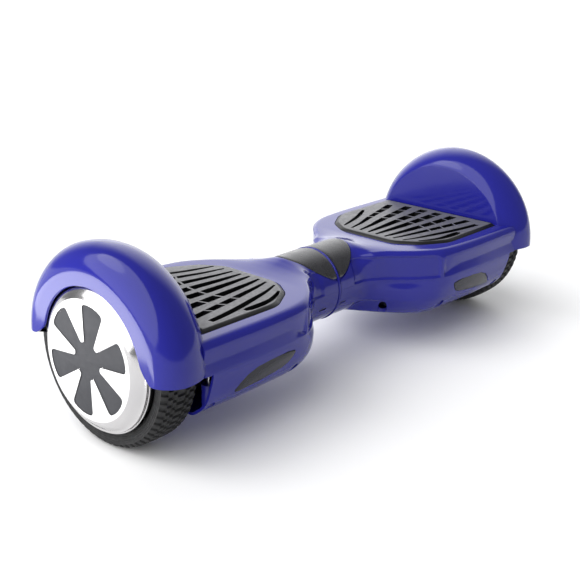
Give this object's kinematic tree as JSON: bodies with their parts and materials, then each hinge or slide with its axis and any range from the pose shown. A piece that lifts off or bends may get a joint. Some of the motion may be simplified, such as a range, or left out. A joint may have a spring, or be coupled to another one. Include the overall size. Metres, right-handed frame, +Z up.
{
  "type": "self-balancing hoverboard",
  "caption": "Two-wheel self-balancing hoverboard with twisting halves, ribbed foot mats, wheel mudguards, hub-motor wheels and smoked light covers.",
  "frame": {"origin": "on the ground under the centre joint, midway between the two wheels", "axes": "+X along the wheel axles towards the right-hand wheel, -Y towards the front with the light covers, +Z up"},
  "size_m": [0.574, 0.1956, 0.181],
  "materials": {
    "gloss_blue_plastic": "glossy royal blue moulded plastic, clear coated",
    "smoked_lens": "smoked translucent light cover",
    "dark_grey_plastic": "satin dark grey moulded plastic",
    "grey_mat_rubber": "matt grey moulded rubber with ribs",
    "cast_aluminium": "plain cast aluminium",
    "circuit_board": "green circuit board",
    "tyre_rubber": "black solid tyre rubber",
    "polished_aluminium": "polished aluminium",
    "star_grey_paint": "mid grey satin paint",
    "magnet_steel": "nickel-plated magnets in a steel ring",
    "steel": "turned steel",
    "copper_winding": "iron stack with enamelled copper windings",
    "bronze": "sintered bronze bush",
    "battery_wrap": "blue shrink-wrapped battery pack",
    "black_plastic": "black moulded plastic"
  },
  "bodies": {
    "left_half": {"upper_cover_left": "gloss_blue_plastic", "lower_cover_left": "gloss_blue_plastic", "light_lens_left": "smoked_lens", "waist_insert_left": "dark_grey_plastic", "chassis_left": "cast_aluminium", "axle_clamp_left": "cast_aluminium", "gyro_board_left": "circuit_board", "light_board_left": "circuit_board", "outer_bearing_left": "steel", "inner_bearing_left": "steel", "axle_left": "steel", "stator_left": "copper_winding", "cover_screw_left_front_1": "steel", "cover_screw_left_front_2": "steel", "cover_screw_left_front_3": "steel", "cover_screw_left_rear_1": "steel", "cover_screw_left_rear_2": "steel", "cover_screw_left_rear_3": "steel", "pivot_shaft": "steel", "retaining_ring": "steel", "joint_ring": "gloss_blue_plastic", "control_board": "circuit_board", "charging_port": "black_plastic"},
    "right_half": {"upper_cover_right": "gloss_blue_plastic", "lower_cover_right": "gloss_blue_plastic", "light_lens_right": "smoked_lens", "waist_insert_right": "dark_grey_plastic", "chassis_right": "cast_aluminium", "axle_clamp_right": "cast_aluminium", "gyro_board_right": "circuit_board", "light_board_right": "circuit_board", "outer_bearing_right": "steel", "inner_bearing_right": "steel", "axle_right": "steel", "stator_right": "copper_winding", "cover_screw_right_front_1": "steel", "cover_screw_right_front_2": "steel", "cover_screw_right_front_3": "steel", "cover_screw_right_rear_1": "steel", "cover_screw_right_rear_2": "steel", "cover_screw_right_rear_3": "steel", "pivot_bush_inner": "bronze", "pivot_bush_outer": "bronze", "battery_pack": "battery_wrap"},
    "left_wheel": {"tyre_left": "tyre_rubber", "wheel_rim_left": "polished_aluminium", "hub_cap_left": "polished_aluminium", "hub_star_left": "star_grey_paint", "magnet_ring_left": "magnet_steel", "motor_side_cover_left": "cast_aluminium"},
    "right_wheel": {"tyre_right": "tyre_rubber", "wheel_rim_right": "polished_aluminium", "hub_cap_right": "polished_aluminium", "hub_star_right": "star_grey_paint", "magnet_ring_right": "magnet_steel", "motor_side_cover_right": "cast_aluminium"},
    "left_mat": {"foot_mat_left": "grey_mat_rubber"},
    "right_mat": {"foot_mat_right": "grey_mat_rubber"},
    "power_button": {"power_button": "black_plastic"},
    "charging_cap": {"charging_cap": "black_plastic"}
  },
  "joints": [
    {"name": "centre_twist", "type": "hinge", "parent": "left_half", "child": "right_half", "pos_m": [0, 0, 0.0803], "axis": [1, 0, 0], "range_deg": [-15, 15]},
    {"name": "left_wheel_spin", "type": "hinge", "parent": "left_half", "child": "left_wheel", "pos_m": [-0.255, 0, 0.083], "axis": [1, 0, 0], "continuous": true},
    {"name": "right_wheel_spin", "type": "hinge", "parent": "right_half", "child": "right_wheel", "pos_m": [0.255, 0, 0.083], "axis": [1, 0, 0], "continuous": true},
    {"name": "left_mat_press", "type": "slide", "parent": "left_half", "child": "left_mat", "axis": [0, 0, -1], "range_m": [0, 0.0015], "stiffness_N_per_m": 12000},
    {"name": "right_mat_press", "type": "slide", "parent": "right_half", "child": "right_mat", "axis": [0, 0, -1], "range_m": [0, 0.0015], "stiffness_N_per_m": 12000},
    {"name": "power_button_press", "type": "slide", "parent": "right_half", "child": "power_button", "axis": [0.5547, -0.8321, 0], "range_m": [0, 0.001], "stiffness_N_per_m": 400},
    {"name": "charging_cap_hinge", "type": "hinge", "parent": "left_half", "child": "charging_cap", "pos_m": [-0.07938, 0.07056, 0.0856], "axis": [-0.7292, 0.6843, 0], "range_deg": [0, 100]}
  ]
}
